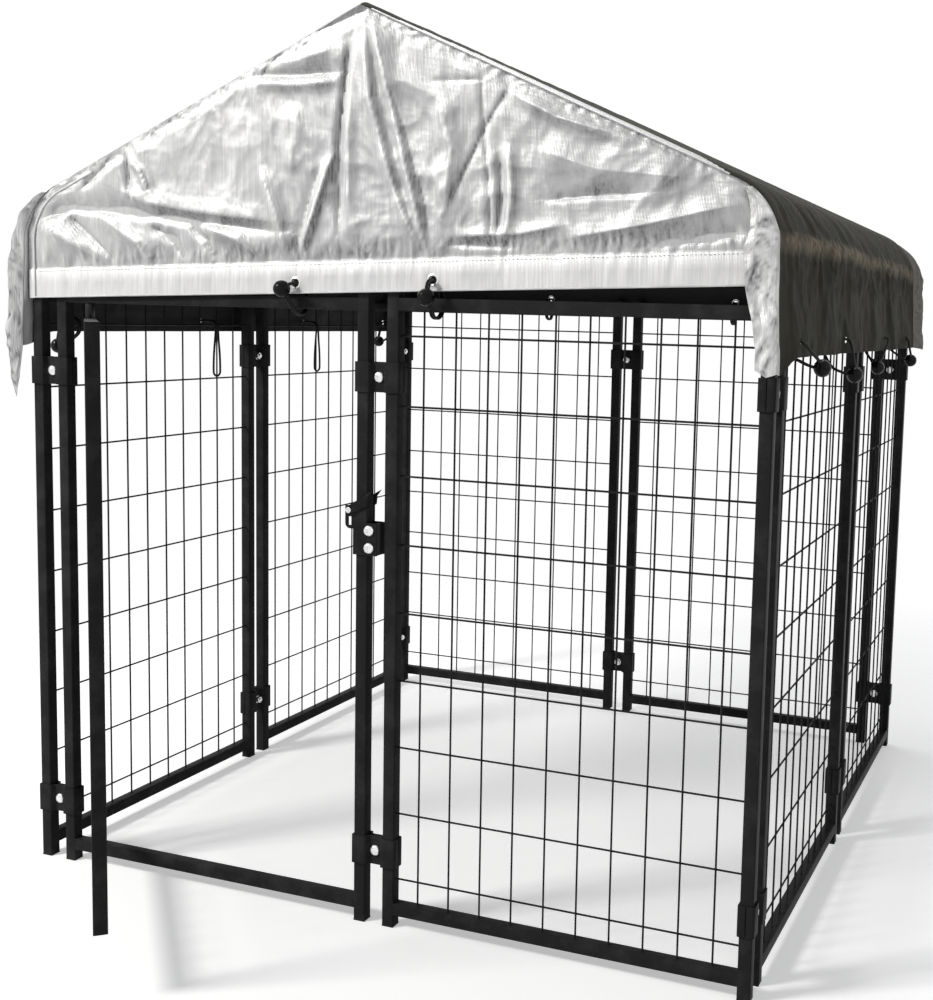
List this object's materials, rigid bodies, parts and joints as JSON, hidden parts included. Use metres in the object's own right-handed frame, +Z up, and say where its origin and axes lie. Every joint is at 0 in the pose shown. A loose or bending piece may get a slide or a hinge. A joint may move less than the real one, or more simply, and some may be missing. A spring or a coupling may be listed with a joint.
{
  "type": "dog kennel",
  "caption": "Square welded-wire dog kennel with a gable roof cover, a swing gate and a throw-over latch; panels held together by bolted wrap clamps.",
  "frame": {"origin": "middle of the foot of the front left corner post", "axes": "+X along the front to the right, +Y from the front to the back, +Z up"},
  "size_m": [1.3019, 1.6041, 1.3552],
  "materials": {
    "powder_coat": "satin black powder coat on steel",
    "zinc": "bright zinc plate",
    "plastic": "moulded black",
    "roof_cloth": "coated woven cloth, dark grey outside",
    "flap_cloth": "coated woven cloth, silver outside, black inside",
    "elastic": "braided elastic cord with a moulded ball"
  },
  "bodies": {
    "kennel": {"back_left_panel": "powder_coat", "back_right_panel": "powder_coat", "clamp_back_left_corner_lower": "powder_coat", "clamp_back_left_corner_upper": "powder_coat", "clamp_back_middle_lower": "powder_coat", "clamp_back_middle_upper": "powder_coat", "clamp_back_right_corner_lower": "powder_coat", "clamp_back_right_corner_upper": "powder_coat", "clamp_front_left_corner_lower": "powder_coat", "clamp_front_left_corner_upper": "powder_coat", "clamp_front_middle_lower": "powder_coat", "clamp_front_middle_upper": "powder_coat", "clamp_front_right_corner_lower": "powder_coat", "clamp_front_right_corner_upper": "powder_coat", "clamp_left_middle_lower": "powder_coat", "clamp_left_middle_upper": "powder_coat", "clamp_right_middle_lower": "powder_coat", "clamp_right_middle_upper": "powder_coat", "cover_back_flap": "flap_cloth", "cover_front_flap": "flap_cloth", "cover_roof": "roof_cloth", "door_frame": "powder_coat", "front_right_panel": "powder_coat", "gate_bush_bottom": "plastic", "gate_bush_top": "plastic", "gate_pin_bottom": "zinc", "gate_pin_top": "zinc", "latch_back_plate": "powder_coat", "latch_bolt_lower": "zinc", "latch_bolt_upper": "zinc", "latch_front_plate": "powder_coat", "left_front_panel": "powder_coat", "left_rear_panel": "powder_coat", "rafter_back_left": "powder_coat", "rafter_back_right": "powder_coat", "rafter_front_left": "powder_coat", "rafter_front_right": "powder_coat", "ridge_fitting_back": "powder_coat", "ridge_fitting_front": "powder_coat", "ridge_pole": "powder_coat", "right_front_panel": "powder_coat", "right_rear_panel": "powder_coat", "tie_back_1": "elastic", "tie_back_2": "elastic", "tie_front_1": "elastic", "tie_front_2": "elastic", "tie_left_1": "elastic", "tie_left_2": "elastic", "tie_left_3": "elastic", "tie_left_4": "elastic", "tie_right_1": "elastic", "tie_right_2": "elastic", "tie_right_3": "elastic", "tie_right_4": "elastic"},
    "gate": {"gate": "powder_coat"},
    "lever": {"latch_lever_front": "powder_coat", "latch_lever_rear": "powder_coat", "latch_lever_pin": "zinc"}
  },
  "joints": [
    {"name": "gate_swing", "type": "hinge", "parent": "kennel", "child": "gate", "pos_m": [0.0975, 0, 0.095], "axis": [0, 0, 1], "range_deg": [-82, 138]},
    {"name": "latch_lever_turn", "type": "hinge", "parent": "kennel", "child": "lever", "pos_m": [0.58225, 0, 0.63], "axis": [0, -1, 0], "range_deg": [0, 165]}
  ]
}
